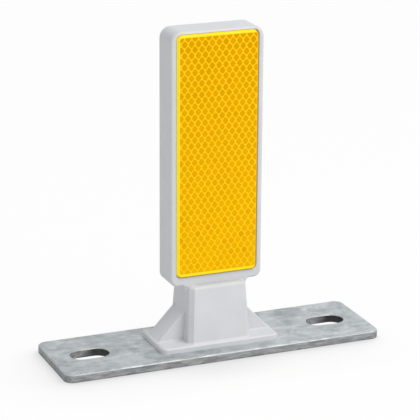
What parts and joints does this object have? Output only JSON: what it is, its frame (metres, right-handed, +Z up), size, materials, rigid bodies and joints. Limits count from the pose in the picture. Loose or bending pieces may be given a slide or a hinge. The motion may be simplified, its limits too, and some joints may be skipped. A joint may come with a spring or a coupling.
{
  "type": "traffic delineator post",
  "caption": "Upright yellow reflector in a rimmed grey head, plugged into a wedge-sided moulded foot on a slotted galvanised bar, to mark the top of a road barrier.",
  "frame": {"origin": "middle of the base plate's underside", "axes": "+X along the plate, the front reflector faces -Y, +Z up"},
  "size_m": [0.21, 0.06, 0.2049],
  "materials": {
    "galvanised_steel": "hot-dip galvanised, dull and mottled",
    "grey_moulding": "light cool grey, smooth satin moulding",
    "yellow_lens": "glossy amber yellow moulding with a lattice of cells",
    "prism_sheet": "clear amber prism sheet",
    "back_plate": "off-white moulding",
    "foam_tape": "dark acrylic foam",
    "screw_steel": "bright zinc plated",
    "insert_brass": "turned brass"
  },
  "bodies": {
    "root": {"base_plate": "galvanised_steel", "foot_socket": "grey_moulding", "post_head": "grey_moulding", "front_lens": "yellow_lens", "front_prism_sheet": "prism_sheet", "front_back_plate": "back_plate", "front_mounting_tape": "foam_tape", "rear_lens": "yellow_lens", "rear_prism_sheet": "prism_sheet", "rear_back_plate": "back_plate", "rear_mounting_tape": "foam_tape", "head_screws": "screw_steel", "head_inserts": "insert_brass", "foot_screws": "screw_steel", "foot_inserts": "insert_brass"}
  },
  "joints": []
}
